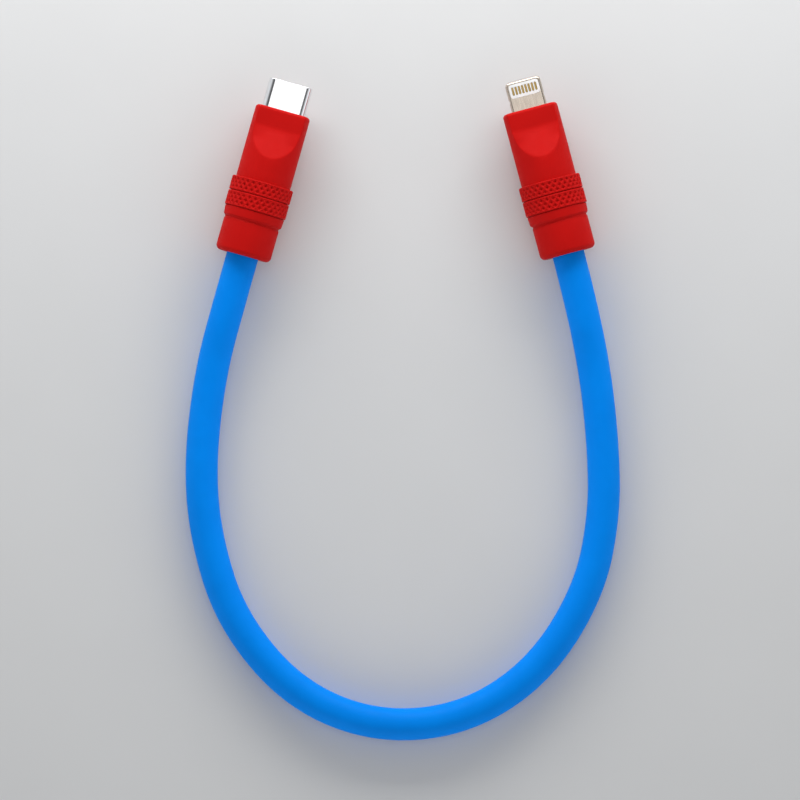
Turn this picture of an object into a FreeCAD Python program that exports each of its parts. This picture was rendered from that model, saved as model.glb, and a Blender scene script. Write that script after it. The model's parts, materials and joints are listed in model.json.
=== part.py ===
import FreeCAD, Part

import math
import os

"""A short charging cable: two small red plugs joined by one thick blue cord that lies in a U.

Each plug is a moulded nose, two knurled grip rings, a tail sleeve and what they enclose.
The oval plug is the reversible 24-contact kind, the blade plug the reversible 8-contact kind.
Millimetres, +Z up. The part lies on z = 0 and its origin is under the middle of the two plugs.
Every plug piece is built in the plug's own frame: +Y runs along the plug's axis from the
middle of the tail's end face towards the tip, +Z is up. It is then turned and moved into place.
"""

V = FreeCAD.Vector
Y_AXIS, Z_AXIS = V(0, 1, 0), V(0, 0, 1)
FIT_GAP = 0.04              # radial clearance between pieces pressed or glued together
INNER_GAP = 0.03            # the same between the small pieces inside a plug
PAST = 1.0                  # how far a cutting tool reaches beyond what it cuts

# ---- the plugs' places: the middle of the tail's end face, and the turn about +Z -------------
OVAL_PLACE = dict(x=-30.23, y=-16.24, turn=-15.8)
BLADE_PLACE = dict(x=30.26, y=-15.89, turn=15.0)

# ---- housing, stations along the plug's axis and radii ---------------------------------------
KNURL_R = 5.82              # the rings carry the plug, so this is also the axis' height
BODY_R = 5.2
NECK_R = 4.9
NECK_START = 5.4
RING_START, RING_SPLIT, RING_END, RING_GAP = 8.45, 11.33, 14.08, 0.1
RING_CHAMFER = 0.22
RAMP_START, RAMP_END, NOSE_END = 18.5, 24.0, 27.9
FLAT_HALF = 2.75            # half the thickness between the two flats at the front
NOSE_EDGE_R = 0.6
FRONT_WALL = 1.4
CAVITY_R, CAVITY_START = 4.5, 13.0
CAVITY_ROOF_START, CAVITY_FLAT_HALF = 18.5, 2.15
NECK_BORE_R = 4.2

TAIL_R, TAIL_CORNER_R = 5.25, 0.8
GROOVE_START, GROOVE_END, GROOVE_R, GROOVE_FLANK = 6.05, 6.32, 5.15, 0.1
COLLAR_START, COLLAR_R_REAR, COLLAR_R_FRONT, TAIL_END = 6.85, 5.52, 5.65, 8.38

FERRULE_R, FERRULE_START, FERRULE_END = 3.5, 4.2, 8.3

# ---- cord -------------------------------------------------------------------------------------
CORD_R, JACKET_BORE_R = 3.0, 1.6
JACKET_END, BRAID_END, WIRE_END = 8.5, 12.6, 14.9
FIRST_BEND = -7.0           # where the cord first turns, behind the tail
BRAID_R, BRAID_BORE_R = 1.55, 1.4
POWER_WIRE_R, POWER_WIRE_OFFSET = 0.57, 0.6
DATA_WIRE_R, DATA_WIRE_OFFSET = 0.33, 0.92
FILLER_R = 0.14
FILLER_OFFSETS = [(x, z) for x in (-0.88, 0.88) for z in (-0.78, 0.78)]
ARC_SHARE = 0.45            # of the shorter run beside a bend, taken by its arc

# ---- shield can, board ------------------------------------------------------------------------
CAN_HALF_X, CAN_HALF_Z, CAN_WALL, CAN_CORNER_R = 4.3, 1.5, 0.15, 0.8
CAN_START, CAN_END, BARREL_START, CAN_SEAM = 13.4, 24.0, 11.9, 0.02
BOARD_START, BOARD_END, BOARD_HALF_X, BOARD_HALF_Z = 15.2, 22.7, 3.5, 0.4

# ---- oval tip ---------------------------------------------------------------------------------
OVAL_W, OVAL_H, OVAL_WALL = 8.25, 2.4, 0.3
OVAL_START, OVAL_END = 22.95, 33.27
INSULATOR_START, INSULATOR_END = 24.2, 32.8
SLOT_W, SLOT_H, SLOT_BOTTOM = 6.75, 0.95, 27.1
OVAL_PITCH = 0.5
UPPER_POSITIONS = (1, 4, 5, 6, 7, 9, 12)
LOWER_POSITIONS = (1, 4, 5, 9, 12)
LATCH_START, LATCH_END = 24.9, 31.5
LATCH_IN, LATCH_OUT, LATCH_HALF_Z, LATCH_HOOK = 3.40, 3.55, 0.25, 0.27
CONTACT_W, CONTACT_T = 0.25, 0.1
CHANNEL_HALF_X, CHANNEL_Z = 0.16, (0.36, 0.70)
PLATE_HALF_X, PLATE_HALF_Z, PLATE_START, PLATE_END = 3.28, 0.1, 23.0, 26.8
SPRING_HALF_X, SPRING_T, SPRING_START, SPRING_END = 2.6, 0.08, 28.5, 32.3
SHELL_LIP_R = 0.13

# ---- blade tip --------------------------------------------------------------------------------
BLADE_W, BLADE_H, BLADE_EDGE_R = 6.7, 1.5, 0.47
BLADE_START, FLANGE_END, BLADE_END = 23.3, 26.0, 33.5
BLADE_TIP_R = 0.85
FLANGE_W, FLANGE_H = 8.0, 2.2
WINDOW_W, WINDOW_START, WINDOW_END, WINDOW_R = 5.65, 30.36, 33.0, 0.55
DETENT_BEHIND_TIP, DETENT_R, DETENT_DEPTH = 3.6, 0.9, 0.12
PAD_COUNT, PAD_PITCH, PAD_W, PAD_START, PAD_END = 8, 0.62, 0.32, 30.95, 32.45
PAD_CORNER_R, PAD_GAP = 0.14, 0.05
TONGUE_HALF_X, TONGUE_HALF_Z, TONGUE_END = 2.6, 0.3, 31.9

# ---- route of the cord on the surface it lies on: hand-chosen bends, x and y ------------------
LYING_BENDS = [
    (-36.3, -37.7), (-38.3, -55.0), (-37.1, -68.9), (-32.3, -84.0), (-20.8, -97.7),
    (-5.5, -104.0), (11.0, -102.5), (24.9, -93.5), (34.3, -78.5), (37.1, -63.9),
    (36.8, -51.2), (35.3, -37.4),
]


# ---- small shape helpers ----------------------------------------------------------------------
def rod(radius, start, end, x=0.0, z=0.0):
    """A cylinder along the plug's axis."""
    return Part.makeCylinder(radius, end - start, V(x, start, z), Y_AXIS)


def tube(outer, inner, start, end):
    return rod(outer, start, end).cut(rod(inner, start, end))


def block(x, y, z):
    """A box from three (low, high) pairs."""
    low = V(x[0], y[0], z[0])
    return Part.makeBox(x[1] - x[0], y[1] - y[0], z[1] - z[0], low)


def centred(half_x, start, end, half_z):
    return block((-half_x, half_x), (start, end), (-half_z, half_z))


def joined(shapes):
    whole = shapes[0].multiFuse(shapes[1:])
    return whole.removeSplitter()


def without(shape, tools):
    for tool in tools:
        shape = shape.cut(tool)
    return shape


def rounded(shape, radius, keep):
    """The shape with a fillet on each straight or round edge that keep(edge) picks."""
    return shape.makeFillet(radius, [edge for edge in shape.Edges if keep(edge)])


def along(axis):
    """Picks edges that run along an axis."""
    def test(edge):
        ends = [vertex.Point for vertex in edge.Vertexes]
        if len(ends) < 2:
            return False
        step = ends[1] - ends[0]
        return step.Length > 1e-6 and abs(abs(step.dot(axis)) - step.Length) < 1e-6
    return test


def at_station(y):
    """Picks edges that lie in the plane across the plug's axis at y."""
    def test(edge):
        box = edge.BoundBox
        return abs(box.YMin - y) < 1e-4 and abs(box.YMax - y) < 1e-4
    return test


def slab(width, height, start, end, corner):
    """A flat bar along the plug's axis with rounded long edges."""
    bar = centred(width / 2, start, end, height / 2)
    return rounded(bar, corner, along(Y_AXIS))


def oval_bar(width, height, start, end):
    """A flat bar whose two narrow sides are full half rounds."""
    reach = (width - height) / 2
    parts = [centred(reach, start, end, height / 2)]
    parts += [rod(height / 2, start, end, x) for x in (-reach, reach)]
    return joined(parts)


def turned(profile):
    """A solid of revolution about the plug's axis from (radius, station) corners."""
    corners = [V(radius, y, 0) for radius, y in profile]
    face = Part.Face(Part.makePolygon(corners + corners[:1]))
    return face.revolve(V(0, 0, 0), Y_AXIS, 360)


def strip(path, thickness, x, width):
    """A bent metal strip: (station, height) points of its middle line, extruded across x."""
    top = [V(x - width / 2, y, z + thickness / 2) for y, z in path]
    low = [V(x - width / 2, y, z - thickness / 2) for y, z in reversed(path)]
    face = Part.Face(Part.makePolygon(top + low + top[:1]))
    return face.extrude(V(width, 0, 0))


def upside_down(shape):
    """The same piece turned half a turn about the plug's axis."""
    return shape.rotated(V(0, 0, 0), Y_AXIS, 180)


# ---- placing ----------------------------------------------------------------------------------
def placement(place):
    turn = FreeCAD.Rotation(Z_AXIS, place["turn"])
    return FreeCAD.Placement(V(place["x"], place["y"], KNURL_R), turn)


def on_axis(place, station):
    """The point of a placed plug's axis at a station of its own frame."""
    return placement(place).multVec(V(0, station, 0))


# ---- housing ----------------------------------------------------------------------------------
def nose(tip_opening):
    """The moulded front: a round body whose top and bottom slope down to two flats."""
    body = rod(BODY_R, RING_END, NOSE_END)
    high, past = BODY_R + PAST, NOSE_END + PAST
    side = [(RAMP_START, high), (RAMP_START, BODY_R), (RAMP_END, FLAT_HALF), (past, FLAT_HALF), (past, high)]
    corners = [V(-high, y, z) for y, z in side]
    wedge = Part.Face(Part.makePolygon(corners + corners[:1])).extrude(V(2 * high, 0, 0))
    body = without(body, [wedge, upside_down(wedge)])
    body = rounded(body, NOSE_EDGE_R, at_station(NOSE_END))
    body = joined([body, rod(NECK_R, NECK_START, RING_END)])
    front = NOSE_END - FRONT_WALL
    hollow = rod(CAVITY_R, CAVITY_START, front)
    roof = centred(CAVITY_R + PAST, CAVITY_ROOF_START, front, CAVITY_FLAT_HALF)
    rear = rod(CAVITY_R, CAVITY_START, CAVITY_ROOF_START)
    hollow = joined([rear, hollow.common(roof)])
    seat = rod(FERRULE_R + FIT_GAP, NECK_START, JACKET_END)
    bore = rod(NECK_BORE_R, JACKET_END, CAVITY_START)
    return without(body, [hollow, seat, bore, tip_opening])


def grip_ring(start, end):
    """One knurled ring, as the plain band that its knurl's crests touch."""
    c, inner = RING_CHAMFER, NECK_R + FIT_GAP
    outline = [(inner, start), (KNURL_R - c, start), (KNURL_R, start + c),
               (KNURL_R, end - c), (KNURL_R - c, end), (inner, end)]
    return turned(outline)


def tail():
    """The sleeve behind the rings: a round end for the cord, a soft groove and a flared collar."""
    outline = [(0, 0), (TAIL_R, 0), (TAIL_R, GROOVE_START), (GROOVE_R, GROOVE_START + GROOVE_FLANK),
               (GROOVE_R, GROOVE_END), (COLLAR_R_REAR, COLLAR_START), (COLLAR_R_FRONT, TAIL_END),
               (0, TAIL_END)]
    body = rounded(turned(outline), TAIL_CORNER_R, at_station(0))
    cord_hole = rod(CORD_R + FIT_GAP, 0, FERRULE_START)
    ferrule_seat = rod(FERRULE_R + FIT_GAP, FERRULE_START, NECK_START)
    neck_seat = rod(NECK_R + FIT_GAP, NECK_START, TAIL_END)
    return without(body, [cord_hole, ferrule_seat, neck_seat])


def ferrule():
    return tube(FERRULE_R, CORD_R + FIT_GAP, FERRULE_START + FIT_GAP, FERRULE_END)


def inner_mould(tip_root):
    """The stiff core moulded round the shield can, which the nose is moulded over."""
    gap = INNER_GAP
    front = NOSE_END - FRONT_WALL - gap
    rear = rod(NECK_BORE_R - gap, JACKET_END + 0.1, CAVITY_START + gap)
    middle = rod(CAVITY_R - gap, CAVITY_START + gap, CAVITY_ROOF_START)
    roof = centred(CAVITY_R, CAVITY_ROOF_START, front, CAVITY_FLAT_HALF - gap)
    shoulder = rod(CAVITY_R - gap, CAVITY_ROOF_START, front).common(roof)
    core = joined([rear, middle, shoulder])
    can_room = slab(2 * CAN_HALF_X + gap, 2 * CAN_HALF_Z + gap, CAN_START - gap, CAN_END + gap, CAN_CORNER_R)
    barrel_room = rod(BRAID_R + CAN_WALL + 3 * gap, JACKET_END, CAN_START)
    return without(core, [can_room, barrel_room, tip_root])


# ---- shield can, board and what is on it ------------------------------------------------------
def can_upper(front_hole):
    """The upper half of the shield can with half of the barrel that grips the braid."""
    wall = CAN_WALL
    shell = slab(2 * CAN_HALF_X, 2 * CAN_HALF_Z, CAN_START, CAN_END, CAN_CORNER_R)
    room = slab(2 * (CAN_HALF_X - wall), 2 * (CAN_HALF_Z - wall), CAN_START + wall, CAN_END + PAST,
                CAN_CORNER_R - wall)
    barrel = rod(BRAID_R + INNER_GAP + wall, BARREL_START, CAN_START)
    hollow = rod(BRAID_R + INNER_GAP, BARREL_START - PAST, CAN_START + PAST)
    whole = without(joined([shell.cut(room), barrel]), [hollow, front_hole])
    reach = CAN_HALF_X + PAST
    return whole.common(block((-reach, reach), (BARREL_START - PAST, CAN_END + PAST), (CAN_SEAM / 2, reach)))


def board(width, tongue=None):
    half_x = width / 2
    plate = centred(half_x, BOARD_START, BOARD_END, BOARD_HALF_Z)
    plate = rounded(plate, 0.4, along(Z_AXIS))
    return plate if tongue is None else joined([plate, tongue])


def chip(x, y, half_x, half_y, height):
    low = BOARD_HALF_Z
    return block((x - half_x, x + half_x), (y - half_y, y + half_y), (low, low + height))


def board_parts():
    """A controller chip on top with small passives beside it, and two more underneath."""
    controller = chip(-1.1, 19.0, 1.25, 1.25, 0.55)
    controller = rounded(controller, 0.08, at_height(BOARD_HALF_Z + 0.55))
    passives = [chip(x, y, 0.25, 0.5, 0.35) for x, y in [(1.0, 18.4), (1.8, 18.4), (2.6, 18.4), (1.4, 20.0)]]
    under = [upside_down(chip(x, 19.0, 0.4, 0.65, 0.4)) for x in (-1.4, 1.4)]
    return Part.makeCompound([controller] + passives + under)


def at_height(z):
    def test(edge):
        box = edge.BoundBox
        return abs(box.ZMin - z) < 1e-4 and abs(box.ZMax - z) < 1e-4
    return test


def solder():
    """Two long mounds beside the power wires and two small ones where the data wires end."""
    mounds = []
    for sign in (-1, 1):
        mounds.append(mound(sign * POWER_WIRE_OFFSET * 1.9, 15.4, 0.42, 0.75, 0.45))
    data = mound(0.0, 15.5, 0.4, 0.5, 0.35)
    mounds += [data, upside_down(data)]
    return Part.makeCompound(mounds)


def mound(x, start, half_x, length, height):
    shape = block((x - half_x, x + half_x), (start, start + length), (BOARD_HALF_Z, BOARD_HALF_Z + height))
    return rounded(shape, height * 0.6, at_height(BOARD_HALF_Z + height))


# ---- oval tip ---------------------------------------------------------------------------------
def oval_shell():
    """The drawn steel oval, its mouth's edges rolled."""
    outside = oval_bar(OVAL_W, OVAL_H, OVAL_START, OVAL_END)
    bore_w, bore_h = OVAL_W - 2 * OVAL_WALL, OVAL_H - 2 * OVAL_WALL
    inside = oval_bar(bore_w, bore_h, OVAL_START - PAST, OVAL_END + PAST)
    return rounded(outside.cut(inside), SHELL_LIP_R, at_station(OVAL_END))


def position_x(position):
    """Across-plug place of one of the oval plug's twelve contact positions."""
    return (position - 6.5) * OVAL_PITCH


def oval_insulator():
    """The black block with the slot for the socket's tongue and a channel for each contact."""
    gap = INNER_GAP
    inner_w, inner_h = OVAL_W - 2 * OVAL_WALL - 2 * gap, OVAL_H - 2 * OVAL_WALL - 2 * gap
    body = oval_bar(inner_w, inner_h, INSULATOR_START, INSULATOR_END)
    slot = centred(SLOT_W / 2, SLOT_BOTTOM, INSULATOR_END + PAST, SLOT_H / 2)
    rear = INSULATOR_START - PAST
    plate_room = centred(PLATE_HALF_X + gap, rear, PLATE_END + gap, PLATE_HALF_Z + gap)
    cuts = [slot, plate_room]
    channel = block((-CHANNEL_HALF_X, CHANNEL_HALF_X), (rear, INSULATOR_END - 0.25), CHANNEL_Z)
    for position in UPPER_POSITIONS:
        cuts.append(channel.translated(V(position_x(position), 0, 0)))
    for position in LOWER_POSITIONS:
        cuts.append(upside_down(channel.translated(V(-position_x(position), 0, 0))))
    latch_y, latch_z = (LATCH_START - 0.15, LATCH_END + 0.35), LATCH_HALF_Z + 0.07
    side = block((LATCH_IN - 0.08, inner_w), latch_y, (-latch_z, latch_z))
    cuts += [side, upside_down(side)]
    spring_x, spring_y = SPRING_HALF_X + 0.05, (SPRING_START - 0.1, SPRING_END + 0.05)
    spring_room = block((-spring_x, spring_x), spring_y, (inner_h / 2 - 0.1, inner_h))
    cuts += [spring_room, upside_down(spring_room)]
    return without(body, cuts)


def oval_contact(x):
    """One spring contact: flat on the board, through the block, bowed into the slot."""
    path = [(21.2, 0.462), (27.4, 0.462), (29.2, 0.562), (31.0, 0.402), (31.5, 0.402), (32.2, 0.562)]
    return strip(path, CONTACT_T, x, CONTACT_W)


def oval_contacts_upper():
    return Part.makeCompound([oval_contact(position_x(p)) for p in UPPER_POSITIONS])


def oval_contacts_lower():
    return Part.makeCompound([upside_down(oval_contact(-position_x(p))) for p in LOWER_POSITIONS])


def latch_right():
    """A side latch: a thin arm with a hook that grips the socket's tongue."""
    hook = LATCH_HOOK
    outline = [(LATCH_OUT, LATCH_START), (LATCH_OUT, LATCH_END), (LATCH_IN, LATCH_END),
               (LATCH_IN - hook, LATCH_END - 0.35), (LATCH_IN - hook, LATCH_END - 0.75),
               (LATCH_IN, LATCH_END - 1.3), (LATCH_IN, LATCH_START)]
    corners = [V(x, y, -LATCH_HALF_Z) for x, y in outline]
    face = Part.Face(Part.makePolygon(corners + corners[:1]))
    return face.extrude(V(0, 0, 2 * LATCH_HALF_Z))


def latch_plate():
    """The steel plate between the two contact rows that the latches are stamped from."""
    plate = centred(PLATE_HALF_X, PLATE_START, PLATE_END, PLATE_HALF_Z)
    notch = centred(1.2, PLATE_START - PAST, PLATE_START + 0.9, 2 * PLATE_HALF_Z)
    return plate.cut(notch)


def ground_spring():
    """A thin sprung plate between the block and the shell, slit into fingers."""
    top = OVAL_H / 2 - OVAL_WALL - 0.01
    plate = block((-SPRING_HALF_X, SPRING_HALF_X), (SPRING_START, SPRING_END), (top - SPRING_T, top))
    slit_y = (SPRING_START + 1.5, SPRING_END + PAST)
    slits = [block((x - 0.1, x + 0.1), slit_y, (0, OVAL_H)) for x in (-1.3, 0.0, 1.3)]
    return without(plate, slits)


# ---- blade tip --------------------------------------------------------------------------------
def window_block(gap, half_z):
    """The window's outline as a solid, smaller by gap all round."""
    half_x = WINDOW_W / 2 - gap
    body = block((-half_x, half_x), (WINDOW_START + gap, WINDOW_END - gap), (-half_z, half_z))
    return rounded(body, WINDOW_R - gap, along(Z_AXIS))


def blade_frame():
    """The steel blade: a flange inside the nose, a hollow for the board and the contact window."""
    root = FLANGE_END - 0.5
    blade = centred(BLADE_W / 2, root, BLADE_END, BLADE_H / 2)
    blade = rounded(blade, BLADE_TIP_R, lambda edge: along(Z_AXIS)(edge) and edge.BoundBox.YMin > root)
    rim = [edge for face in blade.Faces if abs(face.BoundBox.ZLength) < 1e-6 for edge in face.Edges]
    blade = blade.makeFillet(BLADE_EDGE_R, [edge for edge in rim if edge.BoundBox.YMax > root + 0.01])
    flange = slab(FLANGE_W, FLANGE_H, BLADE_START, FLANGE_END, 0.5)
    frame = joined([flange, blade])
    board_room = centred(TONGUE_HALF_X + 0.05, BLADE_START - 1, WINDOW_START + 0.5, TONGUE_HALF_Z + 0.05)
    detent_x, detent_y = BLADE_W / 2 + DETENT_R - DETENT_DEPTH, BLADE_END - DETENT_BEHIND_TIP
    detents = [Part.makeCylinder(DETENT_R, 2, V(x, detent_y, -1), Z_AXIS) for x in (-detent_x, detent_x)]
    return without(frame, [board_room, window_block(0, BLADE_H)] + detents)


def pad_x(index):
    return (index - (PAD_COUNT - 1) / 2) * PAD_PITCH


def pad_block(index, gap, low, high):
    """One contact pad's outline as a solid, larger by gap all round."""
    x, half_x = pad_x(index), PAD_W / 2 + gap
    pad = block((x - half_x, x + half_x), (PAD_START - gap, PAD_END + gap), (low, high))
    return rounded(pad, PAD_CORNER_R + gap, along(Z_AXIS))


def blade_insulator():
    """The white window insert, flush with the blade, with a pocket for each contact."""
    body = window_block(0.02, BLADE_H / 2 - 0.01)
    tongue = centred(TONGUE_HALF_X + 0.05, WINDOW_START - 1, TONGUE_END + 0.05, TONGUE_HALF_Z + 0.02)
    pockets = [pad_block(index, PAD_GAP, 0.2, BLADE_H) for index in range(PAD_COUNT)]
    pockets += [upside_down(pocket) for pocket in pockets]
    return without(body, [tongue] + pockets)


def blade_contacts_upper():
    low, high = TONGUE_HALF_Z + 0.005, BLADE_H / 2 - 0.01
    return Part.makeCompound([pad_block(index, 0, low, high) for index in range(PAD_COUNT)])


# ---- cord -------------------------------------------------------------------------------------
def cord_route():
    """The cord's bends from one plug to the other, with its two ends inside the tails."""
    lying = [V(x, y, CORD_R) for x, y in LYING_BENDS]
    start = [on_axis(OVAL_PLACE, JACKET_END), on_axis(OVAL_PLACE, FIRST_BEND)]
    end = [on_axis(BLADE_PLACE, FIRST_BEND), on_axis(BLADE_PLACE, JACKET_END)]
    return start + lying + end


def bend_arcs(route):
    """For each bend: where its arc starts, its middle and end, and its radius."""
    arcs = []
    for before, bend, after in zip(route, route[1:], route[2:]):
        back, ahead = before - bend, after - bend
        reach = ARC_SHARE * min(back.Length, ahead.Length)
        back.normalize()
        ahead.normalize()
        half_turn = (math.pi - back.getAngle(ahead)) / 2
        radius = reach / math.tan(half_turn)
        inward = (back + ahead).normalize()
        middle = bend + inward * (radius / math.cos(half_turn) - radius)
        arcs.append((bend + back * reach, middle, bend + ahead * reach, radius))
    return arcs


def cord_path(route, arcs, past_jacket):
    """Straight runs joined by tangent arcs, carried on into both plugs by past_jacket."""
    outward = [(route[0] - route[1]).normalize(), (route[-1] - route[-2]).normalize()]
    place = route[0] + outward[0] * past_jacket
    edges = []
    for start, middle, end, _ in arcs:
        edges.append(Part.LineSegment(place, start).toShape())
        edges.append(Part.Arc(start, middle, end).toShape())
        place = end
    edges.append(Part.LineSegment(place, route[-1] + outward[1] * past_jacket).toShape())
    return Part.Wire(edges)


def swept(path, radius, across=0.0, up=0.0):
    """A round strand along the path, beside it by across and above it by up."""
    first = path.OrderedEdges[0]
    start = first.valueAt(first.FirstParameter)
    heading = first.tangentAt(first.FirstParameter)
    side = heading.cross(Z_AXIS).normalize()
    centre = start + side * across + Z_AXIS * up
    circle = Part.Wire(Part.makeCircle(radius, centre, heading))
    pipe = Part.BRepOffsetAPI.MakePipeShell(path)
    pipe.setBiNormalMode(Z_AXIS)
    pipe.add(circle)
    pipe.build()
    pipe.makeSolid()
    return pipe.shape()


def hose(path, radius, bore):
    return swept(path, radius).cut(swept(path, bore))


def report_cord(path, arcs, jacket):
    """Prints the bends' radii and compares the jacket's volume with its section times its length."""
    radii = ["%.1f" % arc[3] for arc in arcs]
    section = math.pi * (CORD_R**2 - JACKET_BORE_R**2)
    ratio = jacket.Volume / (section * path.Length)
    print("cord: length %.1f mm, radii %s, volume ratio %.4f" % (path.Length, " ".join(radii), ratio))


# ---- the nodes --------------------------------------------------------------------------------
def housing_pieces(tip_opening, tip_root):
    """The pieces that both plugs have alike, around their own tip."""
    half_gap = RING_GAP / 2
    upper = can_upper(tip_root)
    return {
        "nose": nose(tip_opening),
        "grip_ring_front": grip_ring(RING_SPLIT + half_gap, RING_END - half_gap),
        "grip_ring_rear": grip_ring(RING_START, RING_SPLIT - half_gap),
        "tail": tail(),
        "ferrule": ferrule(),
        "inner_mould": inner_mould(tip_root),
        "can_upper": upper,
        "can_lower": upside_down(upper),
        "board_parts": board_parts(),
        "solder": solder(),
    }


def oval_plug():
    gap = FIT_GAP
    opening = oval_bar(OVAL_W + gap, OVAL_H + gap, OVAL_START, OVAL_END)
    right, spring = latch_right(), ground_spring()
    pieces = housing_pieces(opening, opening)
    pieces["shell"] = oval_shell()
    pieces["insulator"] = oval_insulator()
    pieces["contacts_upper"] = oval_contacts_upper()
    pieces["contacts_lower"] = oval_contacts_lower()
    pieces["latch_right"] = right
    pieces["latch_left"] = upside_down(right)
    pieces["latch_plate"] = latch_plate()
    pieces["ground_spring_upper"] = spring
    pieces["ground_spring_lower"] = upside_down(spring)
    pieces["board"] = board(2 * BOARD_HALF_X)
    return pieces


def blade_plug():
    gap = FIT_GAP
    blade_room = slab(BLADE_W + gap, BLADE_H + gap, FLANGE_END - 1, BLADE_END, BLADE_EDGE_R)
    flange_room = slab(FLANGE_W + gap, FLANGE_H + gap, BLADE_START - gap, FLANGE_END + gap, 0.5)
    root = joined([blade_room, flange_room])
    pads = blade_contacts_upper()
    tongue = centred(TONGUE_HALF_X, BOARD_END - 1, TONGUE_END, TONGUE_HALF_Z)
    pieces = housing_pieces(blade_room, root)
    pieces["tab_frame"] = blade_frame()
    pieces["insulator"] = blade_insulator()
    pieces["contacts_upper"] = pads
    pieces["contacts_lower"] = upside_down(pads)
    pieces["board"] = board(2 * BOARD_HALF_X, tongue)
    return pieces


def cord_pieces():
    route = cord_route()
    arcs = bend_arcs(route)
    path = cord_path(route, arcs, 0.0)
    jacket = hose(path, CORD_R, JACKET_BORE_R)
    report_cord(path, arcs, jacket)
    braid = hose(cord_path(route, arcs, BRAID_END - JACKET_END), BRAID_R, BRAID_BORE_R)
    wires = cord_path(route, arcs, WIRE_END - JACKET_END)
    fillers = [swept(wires, FILLER_R, x, z) for x, z in FILLER_OFFSETS]
    return {
        "jacket": jacket,
        "shield_braid": braid,
        "power_wire": swept(wires, POWER_WIRE_R, POWER_WIRE_OFFSET, 0),
        "ground_wire": swept(wires, POWER_WIRE_R, -POWER_WIRE_OFFSET, 0),
        "data_plus_wire": swept(wires, DATA_WIRE_R, 0, DATA_WIRE_OFFSET),
        "data_minus_wire": swept(wires, DATA_WIRE_R, 0, -DATA_WIRE_OFFSET),
        "filler_strands": Part.makeCompound(fillers),
    }


def save(group, pieces, place=None):
    for name, shape in sorted(pieces.items()):
        if place is not None:
            shape = shape.copy()
            shape.Placement = placement(place).multiply(shape.Placement)
        if not shape.isValid():
            print("not valid:", group, name)
        shape.exportStep("parts/%s_%s.step" % (group, name))
        print("%-34s %8.2f mm3, %d solids" % (group + "_" + name, shape.Volume, len(shape.Solids)))


def main():
    os.makedirs("parts", exist_ok=True)
    save("oval_plug", oval_plug(), OVAL_PLACE)
    save("blade_plug", blade_plug(), BLADE_PLACE)
    save("cord", cord_pieces())


main()
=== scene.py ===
import json
import math

import bpy
import bmesh
from mathutils import Matrix, Vector


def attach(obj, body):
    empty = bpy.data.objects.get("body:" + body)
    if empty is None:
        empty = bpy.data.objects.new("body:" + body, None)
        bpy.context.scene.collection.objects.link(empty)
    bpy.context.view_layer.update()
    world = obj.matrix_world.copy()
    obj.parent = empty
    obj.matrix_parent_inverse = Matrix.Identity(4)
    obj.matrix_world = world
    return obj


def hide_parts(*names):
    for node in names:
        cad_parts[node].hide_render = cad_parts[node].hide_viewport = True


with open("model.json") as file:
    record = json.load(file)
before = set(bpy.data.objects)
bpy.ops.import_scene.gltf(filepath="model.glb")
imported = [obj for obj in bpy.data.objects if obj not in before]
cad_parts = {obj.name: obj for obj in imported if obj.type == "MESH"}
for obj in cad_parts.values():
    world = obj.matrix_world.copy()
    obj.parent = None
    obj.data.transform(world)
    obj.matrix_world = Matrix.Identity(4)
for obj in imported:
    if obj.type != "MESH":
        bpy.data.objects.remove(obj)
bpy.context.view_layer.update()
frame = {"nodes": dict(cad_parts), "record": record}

# The visual model of a short charging cable. The red housings, their knurled rings and the blue
# cord are detailed pieces that stand for their CAD nodes; the tips and what the housings enclose
# are the CAD nodes themselves. A plug's pieces are made in millimetres in the plug's own frame:
# +Y along its axis from the tail's end face to the tip, +Z up, and x = 0, z = 0 on the axis.

MM = 0.001
TURN = 2 * math.pi

# ---- where the plugs are: the record's tip mounts, and the tips' stations on the plugs' axes ----
OVAL_TIP_STATION = 33.27
BLADE_TIP_STATION = 33.5

# ---- housing, in millimetres --------------------------------------------------------------------
KNURL_R = 5.82
BODY_R = 5.2
NECK_R, NECK_START = 4.9, 5.4
RING_START, RING_SPLIT, RING_END, RING_GAP = 8.45, 11.33, 14.08, 0.1
RAMP_START, RAMP_END, NOSE_END = 18.5, 24.0, 27.9
FLAT_HALF = 2.75
CROWN = 0.027               # how far the ramp falls off sideways: this times the distance squared
CROWN_FADE = 2.6            # the crown fades out over this much of the ramp's end
NOSE_EDGE_R = 0.6
FRONT_WALL = 1.4
CAVITY_R, CAVITY_START = 4.5, 13.0
CAVITY_ROOF_START, CAVITY_FLAT_HALF = 18.5, 2.15
NECK_BORE_R, FERRULE_SEAT_R, FERRULE_SEAT_END = 4.2, 3.54, 8.5
CREASE = 0.14               # depth over which the ramp's rim is softened
HOLLOW = 0.28               # the same for the hollow line where the ramp meets the flat
LIP = 0.08                  # radius of the edge round the tip's opening
FIT_GAP = 0.04

BODY_STEPS, RAMP_STEPS, FLAT_STEPS, EDGE_STEPS = 10, 30, 6, 10      # mesh steps along the nose
FOOT_STEP, FOOT_STEPS = 0.08, 7         # finer steps on the flat, just beyond the ramp's foot
FOOT_REACH = 0.6                        # where the flat's plain steps begin, beyond the foot
SIDE_STEPS, RIM_STEPS, TOP_STEPS = 14, 8, 10    # mesh steps round a quarter of the nose
RIM_SPREAD = math.radians(3)            # the rim's steps gather within this of the rim
RIM_HIGHEST = math.radians(88)

TAIL_R, TAIL_END = 5.25, 8.38
GROOVE_START, GROOVE_END, GROOVE_R, GROOVE_FLANK = 6.05, 6.42, 5.13, 0.1
COLLAR_START, COLLAR_R_REAR, COLLAR_R_FRONT = 6.78, 5.52, 5.65
FERRULE_START = 4.2

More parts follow.
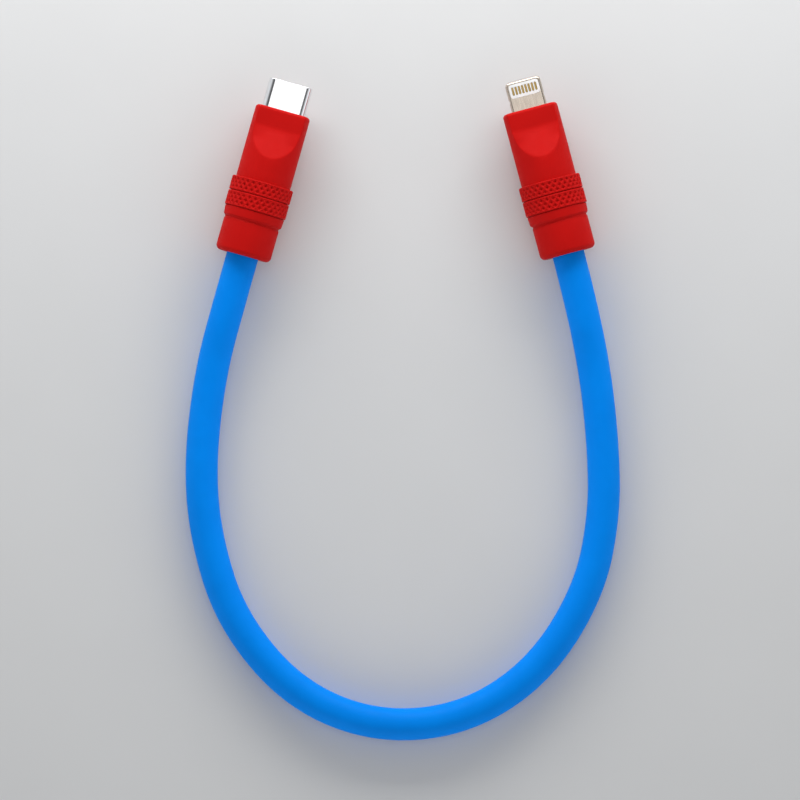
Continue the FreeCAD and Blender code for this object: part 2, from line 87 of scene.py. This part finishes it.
KNURL_COUNT = 31            # pits round one ring
KNURL_PITCH = 1.42          # between pits along the axis in one column
KNURL_DEPTH = 0.33
KNURL_STEPS = 16            # mesh steps from pit to pit
KNURL_HALF = 1.15           # half the knurled band's length; the ring is plain beyond it
KNURL_MIDDLE_REAR, KNURL_MIDDLE_FRONT = 9.82, 12.65
RIDGE_STEEPNESS = 1.25      # above 1, the ridges have flat crests
KNURL_FADE = 0.15           # length over which the knurl rises to the plain rims
RING_EDGE_R, RING_EDGE_STEPS = 0.2, 4
ROW_MARGIN = 0.1            # steps kept free between the knurl's rows and the rounded edges

OVAL_OPENING = dict(half_x=4.145, half_z=1.22, corner=1.22)
BLADE_OPENING = dict(half_x=3.37, half_z=0.77, corner=0.47)

# ---- cord, in metres ----------------------------------------------------------------------------
CORD_R = 0.003
JACKET_END, FIRST_BEND = 8.5, -7.0      # stations on the plugs' axes, in millimetres
LYING_BENDS = [
    (-0.0363, -0.0377), (-0.0383, -0.0550), (-0.0371, -0.0689), (-0.0323, -0.0840),
    (-0.0208, -0.0977), (-0.0055, -0.1040), (0.0110, -0.1025), (0.0249, -0.0935),
    (0.0343, -0.0785), (0.0371, -0.0639), (0.0368, -0.0512), (0.0353, -0.0374),
]

# ---- picture ------------------------------------------------------------------------------------
VIEW_CENTRE = Vector((-0.001, -0.0430, 0.0045))
VIEW_WIDTH = 0.1487
LENS, SENSOR = 200.0, 36.0
ROOM_AROUND, ROOM_OVERHEAD = 0.95, 0.12     # the room's brightness, below and above the band
ROOM_BAND = (0.45, 0.85)                    # of heights, as sines, over which it darkens
ROOM_BEHIND, ROOM_AHEAD = 1.46, 0.52        # the room's share behind the bend and beyond the tips
ROOM_COLOR = (0.96, 0.98, 1.0)
KEY = dict(place=(0, 0.23, 0.122), size=(0.43, 0.137), power=1.06)
OVERHEAD = dict(place=(0, 0.05, 0.75), size=(0.3, 0.3), power=0.385)
LIGHT_AIM = Vector((0, -0.04, 0))
FLOOR_REACH = 3.0


# ---- placing ------------------------------------------------------------------------------------
def plug_frame(mount_name, tip_station):
    """The matrix from a plug's own millimetres to the row frame, from its tip mount."""
    mount = next(m for m in frame["record"]["mounts"] if m["name"] == mount_name)
    ahead, up = Vector(mount["axis"]).normalized(), Vector((0, 0, 1))
    origin = Vector(mount["pos_m"]) - ahead * tip_station * MM
    turn = Matrix((ahead.cross(up), ahead, up)).transposed().to_4x4()
    return Matrix.Translation(origin) @ turn @ Matrix.Scale(MM, 4)


PLUGS = {
    "oval_plug": plug_frame("oval_plug_tip", OVAL_TIP_STATION),
    "blade_plug": plug_frame("blade_plug_tip", BLADE_TIP_STATION),
}


def axis_turn(plug):
    """How far the plug is turned about +Z."""
    _, turn, _ = PLUGS[plug].decompose()
    return turn.to_euler().z


# ---- camera -------------------------------------------------------------------------------------
def make_camera():
    """Straight above the cable, far off with a long lens."""
    data = bpy.data.cameras.new("camera")
    data.lens, data.sensor_width = LENS, SENSOR
    camera = bpy.data.objects.new("camera", data)
    camera.location = VIEW_CENTRE + Vector((0, 0, VIEW_WIDTH * LENS / SENSOR))
    bpy.context.scene.collection.objects.link(camera)
    bpy.context.scene.camera = camera


# ---- materials ----------------------------------------------------------------------------------
class Shade:
    """A principled material with short calls for its texture nodes."""

    def __init__(self, name, color, roughness, metallic=0.0, **sockets):
        self.material = bpy.data.materials.new(name)
        self.material.use_nodes = True
        self.tree = self.material.node_tree
        self.shader = self.tree.nodes["Principled BSDF"]
        self.shader.inputs["Base Color"].default_value = (*color, 1)
        self.shader.inputs["Roughness"].default_value = roughness
        self.shader.inputs["Metallic"].default_value = metallic
        for socket, value in sockets.items():
            self.shader.inputs[socket.replace("_", " ")].default_value = value
        self.material.diffuse_color = (*color, 1)

    def node(self, kind, **values):
        node = self.tree.nodes.new(kind)
        for key, value in values.items():
            if key in node.inputs:
                node.inputs[key].default_value = value
            else:
                setattr(node, key, value)
        return node

    def link(self, output, target):
        self.tree.links.new(output, target)

    def place(self, cell=(1, 1, 1), turn=0.0):
        """Object coordinates in axes turned about Z, counted in cells of this size."""
        coordinates = self.node("ShaderNodeTexCoord")
        mapping = self.node("ShaderNodeMapping", vector_type="TEXTURE")
        mapping.inputs["Rotation"].default_value = (0, 0, turn)
        mapping.inputs["Scale"].default_value = cell
        self.link(coordinates.outputs["Object"], mapping.inputs["Vector"])
        return mapping.outputs["Vector"]

    def noise(self, scale, detail=3.0, where=None):
        node = self.node("ShaderNodeTexNoise", Scale=scale, Detail=detail)
        self.link(where or self.place(), node.inputs["Vector"])
        return node.outputs["Fac"]

    def ramp(self, value, low, high, start=0.3, end=0.7):
        """The value spread to a range of numbers."""
        node = self.node("ShaderNodeMapRange")
        for name, number in (("From Min", start), ("From Max", end), ("To Min", low), ("To Max", high)):
            node.inputs[name].default_value = number
        self.link(value, node.inputs["Value"])
        return node.outputs["Result"]

    def colors(self, value, first, second, start=0.35, end=0.65):
        """The base colour drifts between two colours with the value."""
        node = self.node("ShaderNodeValToRGB")
        node.color_ramp.elements[0].position, node.color_ramp.elements[1].position = start, end
        node.color_ramp.elements[0].color = (*first, 1)
        node.color_ramp.elements[1].color = (*second, 1)
        self.link(value, node.inputs["Fac"])
        self.link(node.outputs["Color"], self.shader.inputs["Base Color"])

    def rough(self, value, low, high):
        self.link(self.ramp(value, low, high), self.shader.inputs["Roughness"])

    def bump(self, value, depth, strength=1.0):
        """Relief from the value, of a depth in metres."""
        node = self.node("ShaderNodeBump", Strength=strength, Distance=depth)
        self.link(value, node.inputs["Height"])
        self.link(node.outputs["Normal"], self.shader.inputs["Normal"])


def soft_touch_red(name):
    """Red rubber-like lacquer: even, matte, with a very fine grain."""
    red = (0.52, 0.0060, 0.0050)
    deep = tuple(0.95 * channel for channel in red)
    shade = Shade(name, red, 0.52, Specular_IOR_Level=0.05)
    shade.colors(shade.noise(260), deep, red)
    shade.rough(shade.noise(900), 0.47, 0.60)
    shade.bump(shade.noise(9000, 2.0), 0.00001, 0.5)
    return shade.material


def silicone_blue():
    """Smooth matte silicone: a faint cloudiness and fine dust-like grain."""
    blue, deep = (0.0, 0.262, 0.93), (0.0, 0.241, 0.87)
    shade = Shade("silicone_blue", blue, 0.5, Specular_IOR_Level=0.05)
    shade.colors(shade.noise(120), deep, blue)
    shade.rough(shade.noise(600), 0.44, 0.58)
    shade.bump(shade.noise(7000, 2.0), 0.000008, 0.4)
    return shade.material


def metal(name, color, roughness, plug, spread=0.08, depth=0.000002):
    """Metal drawn or brushed along a plug's axis."""
    shade = Shade(name, color, roughness, 1.0)
    lines = shade.noise(300, 4.0, shade.place((0.02, 0.7, 0.02), axis_turn(plug)))
    shade.rough(lines, roughness - spread / 2, roughness + spread)
    shade.bump(lines, depth, 0.35)
    return shade.material


def plastic(name, color, roughness, grain=5000, depth=0.000006):
    """Moulded plastic with a fine grain and a slight unevenness of colour."""
    shade = Shade(name, color, roughness)
    shade.colors(shade.noise(500), tuple(0.9 * c for c in color), color)
    shade.rough(shade.noise(1200), roughness - 0.06, roughness + 0.08)
    shade.bump(shade.noise(grain, 2.0), depth, 0.5)
    return shade.material


def pale_floor():
    """Plain matte board, all but even in tone."""
    shade = Shade("floor_pale", (0.7, 0.7, 0.7), 0.85, Specular_IOR_Level=0.2)
    shade.colors(shade.noise(40), (0.69, 0.69, 0.69), (0.7, 0.7, 0.7))
    return shade.material


def circuit_board():
    """Green solder mask over straight copper tracks."""
    shade = Shade("board_green", (0.01, 0.12, 0.05), 0.3)
    tracks = shade.node("ShaderNodeTexBrick", Scale=900.0)
    tracks.inputs["Mortar Size"].default_value = 0.12
    shade.link(shade.place(), tracks.inputs["Vector"])
    shade.colors(tracks.outputs["Fac"], (0.01, 0.11, 0.045), (0.03, 0.22, 0.09))
    shade.bump(tracks.outputs["Fac"], 0.00001, 0.5)
    return shade.material


def braid():
    """Tinned copper wires crossing both ways."""
    shade = Shade("braid_copper", (0.72, 0.5, 0.36), 0.35, 1.0)
    waves = []
    for turn in (0.7, -0.7):
        wave = shade.node("ShaderNodeTexWave", Scale=900.0)
        shade.link(shade.place((1, 1, 1), turn), wave.inputs["Vector"])
        waves.append(wave.outputs["Fac"])
    cross = shade.node("ShaderNodeMath", operation="MULTIPLY")
    shade.link(waves[0], cross.inputs[0])
    shade.link(waves[1], cross.inputs[1])
    shade.colors(cross.outputs["Value"], (0.4, 0.25, 0.17), (0.78, 0.6, 0.47), 0.1, 0.7)
    shade.bump(cross.outputs["Value"], 0.00005, 0.8)
    return shade.material


MATERIALS = {
    "housing_red": soft_touch_red("soft_touch_red"),
    "grip_red": soft_touch_red("soft_touch_red_grip"),
    "cord_blue": silicone_blue(),
    "polished_steel": metal("polished_steel", (0.86, 0.86, 0.88), 0.13, "oval_plug", 0.04, 0.0000005),
    "steel": metal("stamped_steel", (0.62, 0.62, 0.64), 0.3, "oval_plug"),
    "blade_steel": metal("blade_steel", (0.60, 0.52, 0.44), 0.26, "blade_plug", 0.1),
    "contact_gold": metal("contact_gold", (0.50, 0.34, 0.11), 0.3, "blade_plug"),
    "insulator_black": plastic("insulator_black", (0.012, 0.012, 0.014), 0.4),
    "insulator_white": plastic("insulator_white", (0.93, 0.93, 0.92), 0.4),
    "board_green": circuit_board(),
    "chip_black": plastic("chip_black", (0.015, 0.015, 0.017), 0.5),
    "solder": metal("solder", (0.75, 0.75, 0.77), 0.25, "oval_plug"),
    "mould_grey": plastic("mould_grey", (0.33, 0.34, 0.36), 0.55),
    "braid_copper": braid(),
    "wire_red": plastic("wire_red", (0.5, 0.01, 0.01), 0.45),
    "wire_black": plastic("wire_black", (0.012, 0.012, 0.012), 0.45),
    "wire_green": plastic("wire_green", (0.01, 0.28, 0.06), 0.45),
    "wire_white": plastic("wire_white", (0.8, 0.8, 0.8), 0.45),
    "filler_fibre": plastic("filler_fibre", (0.7, 0.66, 0.55), 0.9, 9000, 0.00003),
}


# ---- mesh tools ---------------------------------------------------------------------------------
def skin(loops):
    """The corners and faces through loops of equal count; the last loop joins the first."""
    count = len(loops[0])
    corners = [point for loop in loops for point in loop]
    faces = []
    for row in range(len(loops)):
        this, after = row * count, (row + 1) % len(loops) * count
        for k in range(count):
            step = (k + 1) % count
            faces.append((this + k, this + step, after + step, after + k))
    return corners, faces


def add_piece(name, surface, place, slot, nodes, sharp=math.radians(35)):
    """Makes a mesh piece that rides on the body, stands for its nodes and has its slot's finish."""
    corners, faces = surface
    mesh = bpy.data.meshes.new(name)
    mesh.from_pydata([place @ Vector(corner) for corner in corners], [], faces)
    work = bmesh.new()
    work.from_mesh(mesh)
    bmesh.ops.remove_doubles(work, verts=work.verts, dist=1e-7)
    bmesh.ops.recalc_face_normals(work, faces=work.faces)
    work.to_mesh(mesh)
    work.free()
    mesh.shade_smooth()
    mesh.set_sharp_from_angle(angle=sharp)
    piece = bpy.data.objects.new(name, mesh)
    bpy.context.scene.collection.objects.link(piece)
    dress(piece, slot, nodes)


def dress(piece, slot, nodes):
    piece.data.materials.append(MATERIALS[slot])
    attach(piece, "body")
    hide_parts(*nodes)


def around(radius, station, angle):
    return radius * math.cos(angle), station, radius * math.sin(angle)


def circle(radius, station, angles):
    return [around(radius, station, angle) for angle in angles]


def even_angles(count):
    return [TURN * k / count for k in range(count)]


def rounded_corners(corners, steps=6):
    """A closed (radius, station) outline whose corners (radius, station, fillet) are rounded."""
    points = [Vector(corner[:2]) for corner in corners]
    outline = []
    for index, (_, _, fillet) in enumerate(corners):
        corner = points[index]
        back = (points[index - 1] - corner).normalized()
        ahead = (points[(index + 1) % len(points)] - corner).normalized()
        half = back.angle(ahead) / 2
        inward = (back + ahead).normalized()
        across = Vector((-inward.y, inward.x))
        side = 1 if across.dot(back) > 0 else -1
        middle = corner + inward * (fillet / math.sin(half))
        for step in range(steps + 1 if fillet else 1):
            turn = (math.pi / 2 - half) * (1 - 2 * step / steps) * side
            outline.append(middle + (across * math.sin(turn) - inward * math.cos(turn)) * fillet)
    return outline


def turned(corners):
    """A solid of revolution about the plug's axis."""
    angles = even_angles(192)
    return skin([circle(radius, station, angles) for radius, station in rounded_corners(corners)])


def soft_min(a, b, depth):
    blend = max(depth - abs(a - b), 0) / depth
    return min(a, b) - blend * blend * depth / 4


def soft_max(a, b, depth):
    return -soft_min(-a, -b, depth)


def flat_radius(flat, crown, angle):
    """Distance from the axis, along an angle, to the surface at height flat - crown * x * x."""
    rise, run = abs(math.sin(angle)), math.cos(angle)
    return 2 * flat / (rise + math.sqrt(rise**2 + 4 * crown * flat * run**2) + 1e-6)


def opening_radius(angle, half_x, half_z, corner):
    """Distance from the axis to a rounded rectangle's outline, along an angle."""
    low, high = 0.0, half_x + half_z
    for _ in range(40):
        middle = (low + high) / 2
        x = abs(middle * math.cos(angle)) - half_x + corner
        z = abs(middle * math.sin(angle)) - half_z + corner
        out = math.hypot(max(x, 0), max(z, 0)) + min(max(x, z), 0) - corner
        low, high = (middle, high) if out < 0 else (low, middle)
    return low


# ---- nose ---------------------------------------------------------------------------------------
def ramp_shape(station):
    """Half the housing's thickness, and the crown, of the ramp's surface carried on past its rim."""
    slope = (BODY_R - FLAT_HALF) / (RAMP_END - RAMP_START)
    flat = soft_max(BODY_R - slope * (station - RAMP_START), FLAT_HALF, HOLLOW)
    share = min(max((RAMP_END - station) / CROWN_FADE, 0), 1)
    return flat, CROWN * share * share * (3 - 2 * share)


def rim_angles(station):
    """Angles round the axis that gather at the rim where the ramp or the flat cuts the round body."""
    flat, crown = ramp_shape(station)
    side = flat - crown * BODY_R**2
    reach = 2 * side / (BODY_R * (1 + math.sqrt(max(1 - 4 * crown * side, 0))))
    rim = min(math.asin(min(reach, 1.0)), RIM_HIGHEST)
    soft = min(RIM_SPREAD, (math.pi / 2 - rim) / 2)
    stops = [(0.0, SIDE_STEPS), (rim - soft, RIM_STEPS), (rim + soft, TOP_STEPS)]
    quarter = []
    for (start, steps), end in zip(stops, [rim - soft, rim + soft, math.pi / 2]):
        quarter += [start + (end - start) * step / steps for step in range(steps)]
    half = quarter + [math.pi / 2] + [math.pi - angle for angle in reversed(quarter)]
    return half[:-1] + [math.pi + angle for angle in half[:-1]]


def nose_section(station, inset, angles):
    flat, crown = ramp_shape(station)
    loop = []
    for angle in angles:
        cut = flat_radius(flat - inset, crown, angle)
        loop.append(around(soft_min(BODY_R - inset, cut, CREASE), station, angle))
    return loop


def nose_stations():
    """Stations of the outside: close together at the ramp's tip, its foot and the front edge."""
    slope = (BODY_R - FLAT_HALF) / (RAMP_END - RAMP_START)
    half_width = math.sqrt(BODY_R**2 - FLAT_HALF**2)
    stations = [RING_END + (RAMP_START - RING_END) * k / BODY_STEPS for k in range(BODY_STEPS)]
    for k in range(RAMP_STEPS + 1):
        height = math.sqrt(BODY_R**2 - (half_width * k / RAMP_STEPS) ** 2)
        stations.append(RAMP_START + (BODY_R - height) / slope)
    stations += [RAMP_END + FOOT_STEP * k for k in range(1, FOOT_STEPS + 1)]
    plain, front = RAMP_END + FOOT_REACH, NOSE_END - NOSE_EDGE_R
    stations += [plain + (front - plain) * k / FLAT_STEPS for k in range(FLAT_STEPS)]
    return stations


def nose(opening):
    """The moulded front: outside, rounded front edge, face, the tip's opening and the hollow."""
    loops = [nose_section(station, 0.0, rim_angles(station)) for station in nose_stations()]
    front_angles = rim_angles(NOSE_END)
    for step in range(EDGE_STEPS + 1):
        turn = math.pi / 2 * step / EDGE_STEPS
        station = NOSE_END - NOSE_EDGE_R * (1 - math.sin(turn))
        loops.append(nose_section(station, NOSE_EDGE_R * (1 - math.cos(turn)), front_angles))
    loops += front_face(loops[-1], opening, front_angles)
    inside = NOSE_END - FRONT_WALL
    for station in (inside, CAVITY_ROOF_START):
        clipped = [soft_min(CAVITY_R, flat_radius(CAVITY_FLAT_HALF, 0, a), CREASE) for a in front_angles]
        loops.append([around(r, station, a) for r, a in zip(clipped, front_angles)])
    rear = [(CAVITY_R, CAVITY_ROOF_START), (CAVITY_R, CAVITY_START), (NECK_BORE_R, CAVITY_START),
            (NECK_BORE_R, FERRULE_SEAT_END), (FERRULE_SEAT_R, FERRULE_SEAT_END),
            (FERRULE_SEAT_R, NECK_START), (NECK_R, NECK_START), (NECK_R, RING_END)]
    loops += [circle(radius, station, front_angles) for radius, station in rear]
    return skin(loops)


def front_face(outer, opening, angles):
    """Loops from the front edge's inner side across the face and into the tip's opening."""
    hole = [opening_radius(angle, **opening) for angle in angles]
    rim = [math.hypot(x, z) for x, _, z in outer]
    loops = []
    for share in (0.3, 0.7, 1.0):
        radii = [r + (h + LIP - r) * share for r, h in zip(rim, hole)]
        loops.append([around(r, NOSE_END, a) for r, a in zip(radii, angles)])
    for turn in (0.4, 0.9, math.pi / 2):
        station = NOSE_END - LIP * (1 - math.cos(turn))
        edge = LIP * (1 - math.sin(turn))
        loops.append([around(h + edge, station, a) for h, a in zip(hole, angles)])
    loops.append([around(h, NOSE_END - FRONT_WALL, a) for h, a in zip(hole, angles)])
    return loops


# ---- grip rings and tail ------------------------------------------------------------------------
def knurl_height(turns, offset):
    """0 at a pit's bottom, 1 on the net of ridges between pits and on the plain rims."""
    slants = [abs((turns + sign * offset / KNURL_PITCH) % 1 - 0.5) * 2 for sign in (-1, 1)]
    net = min(max(slants) * RIDGE_STEEPNESS, 1.0)
    rim = min(max(1 - (KNURL_HALF - abs(offset)) / KNURL_FADE, 0), 1)
    return max(net, rim)


def grip_ring(start, end, middle):
    """One ring: a net of slanted ridges with three rows of staggered diamond pits round middle."""
    angles = even_angles(KNURL_COUNT * KNURL_STEPS)
    inner = NECK_R + FIT_GAP
    rear_edge, front_edge = [], []
    for edge_step in range(RING_EDGE_STEPS + 1):
        turn = math.pi / 2 * edge_step / RING_EDGE_STEPS
        radius = KNURL_R - RING_EDGE_R * (1 - math.sin(turn))
        inset = RING_EDGE_R * (1 - math.cos(turn))
        rear_edge.append(circle(radius, start + inset, angles))
        front_edge.append(circle(radius, end - inset, angles))
    loops = [circle(inner, start, angles)] + rear_edge
    step = KNURL_PITCH / KNURL_STEPS
    first = math.ceil((start + RING_EDGE_R - middle) / step + ROW_MARGIN)
    last = math.floor((end - RING_EDGE_R - middle) / step - ROW_MARGIN)
    for row in range(first, last + 1):
        heights = [knurl_height(k / KNURL_STEPS, row * step) for k in range(len(angles))]
        radii = [KNURL_R - KNURL_DEPTH * (1 - height) for height in heights]
        loops.append([around(r, middle + row * step, angle) for r, angle in zip(radii, angles)])
    loops += list(reversed(front_edge))
    loops.append(circle(inner, end, angles))
    return skin(loops)


def tail():
    """The sleeve behind the rings: round end, soft groove, flared collar, stepped bore."""
    bore, seat, neck = CORD_R / MM + FIT_GAP, FERRULE_SEAT_R, NECK_R + FIT_GAP
    return turned([
        (bore, 0, 0.2), (TAIL_R, 0, 0.95), (TAIL_R, GROOVE_START, 0.3),
        (GROOVE_R, GROOVE_START + GROOVE_FLANK, 0.3), (GROOVE_R, GROOVE_END, 0.15),
        (COLLAR_R_REAR, COLLAR_START, 0.2), (COLLAR_R_FRONT, TAIL_END, 0.1),
        (neck, TAIL_END, 0), (neck, NECK_START, 0), (seat, NECK_START, 0),
        (seat, FERRULE_START, 0), (bore, FERRULE_START, 0),
    ])


def make_housings():
    openings = {"oval_plug": OVAL_OPENING, "blade_plug": BLADE_OPENING}
    half_gap = RING_GAP / 2
    for plug, place in PLUGS.items():
        parts = {
            "nose": nose(openings[plug]),
            "grip_ring_front": grip_ring(RING_SPLIT + half_gap, RING_END - half_gap, KNURL_MIDDLE_FRONT),
            "grip_ring_rear": grip_ring(RING_START, RING_SPLIT - half_gap, KNURL_MIDDLE_REAR),
            "tail": tail(),
        }
        for part, surface in parts.items():
            slot = "grip_red" if "ring" in part else "housing_red"
            node = plug + "_" + part
            add_piece(node + "_skin", surface, place, slot, [node])


# ---- cord ---------------------------------------------------------------------------------------
def cord_route():
    """The route's bends, in metres: out of one tail, along the floor and into the other tail."""
    oval, blade = PLUGS["oval_plug"], PLUGS["blade_plug"]
    start = [oval @ Vector((0, station, 0)) for station in (JACKET_END, FIRST_BEND)]
    end = [blade @ Vector((0, station, 0)) for station in (FIRST_BEND, JACKET_END)]
    return start + [Vector((x, y, CORD_R)) for x, y in LYING_BENDS] + end


def make_cord():
    curve = bpy.data.curves.new("cord_jacket_skin", "CURVE")
    curve.dimensions = "3D"
    curve.bevel_depth, curve.bevel_resolution = CORD_R, 14
    curve.resolution_u = 24
    curve.use_fill_caps = True
    route = cord_route()
    spline = curve.splines.new("NURBS")
    spline.points.add(len(route) - 1)
    for point, place in zip(spline.points, route):
        point.co = (*place, 1)
    spline.order_u = 3
    spline.use_endpoint_u = True
    cord = bpy.data.objects.new("cord_jacket_skin", curve)
    bpy.context.scene.collection.objects.link(cord)
    dress(cord, "cord_blue", ["cord_jacket"])


# ---- the CAD nodes that stay --------------------------------------------------------------------
def finish_nodes():
    """Gives each CAD node its slot's procedural material."""
    slots = {part["node"]: part["material_slot"] for part in frame["record"]["subparts"]}
    for name, node in frame["nodes"].items():
        node.data.materials.clear()
        node.data.materials.append(MATERIALS[slots[name]])


# ---- floor and light ----------------------------------------------------------------------------
def make_floor():
    mesh = bpy.data.meshes.new("floor")
    corners = [(x * FLOOR_REACH, y * FLOOR_REACH, 0) for x, y in ((-1, -1), (1, -1), (1, 1), (-1, 1))]
    mesh.from_pydata(corners, [], [(0, 1, 2, 3)])
    floor = bpy.data.objects.new("floor", mesh)
    floor.data.materials.append(pale_floor())
    bpy.context.scene.collection.objects.link(floor)


def add_light(name, place, size, power):
    data = bpy.data.lights.new(name, "AREA")
    data.shape = "RECTANGLE"
    data.size, data.size_y = size
    data.energy = power
    light = bpy.data.objects.new(name, data)
    light.location = place
    aim = LIGHT_AIM - Vector(place)
    light.rotation_euler = aim.to_track_quat("-Z", "Y").to_euler()
    bpy.context.scene.collection.objects.link(light)


def make_light():
    """A wide low key beyond the tips, a soft box overhead, and a room darker above than around."""
    world = bpy.data.worlds.new("studio")
    world.use_nodes = True
    tree = world.node_tree
    direction = tree.nodes.new("ShaderNodeTexCoord")
    split = tree.nodes.new("ShaderNodeSeparateXYZ")
    tree.links.new(direction.outputs["Generated"], split.inputs["Vector"])
    both = tree.nodes.new("ShaderNodeMath")
    both.operation = "MULTIPLY"
    shares = [("Z", ROOM_BAND, (ROOM_AROUND, ROOM_OVERHEAD)), ("Y", (-1, 1), (ROOM_BEHIND, ROOM_AHEAD))]
    for index, (axis, directions, strengths) in enumerate(shares):
        share = tree.nodes.new("ShaderNodeMapRange")
        share.inputs["From Min"].default_value, share.inputs["From Max"].default_value = directions
        share.inputs["To Min"].default_value, share.inputs["To Max"].default_value = strengths
        tree.links.new(split.outputs[axis], share.inputs["Value"])
        tree.links.new(share.outputs["Result"], both.inputs[index])
    tree.links.new(both.outputs["Value"], tree.nodes["Background"].inputs["Strength"])
    tree.nodes["Background"].inputs["Color"].default_value = (*ROOM_COLOR, 1)
    bpy.context.scene.world = world
    add_light("key", **KEY)
    add_light("overhead", **OVERHEAD)


make_camera()
make_cord()
finish_nodes()
make_housings()
make_floor()
make_light()
bpy.context.scene.view_settings.view_transform = "Standard"
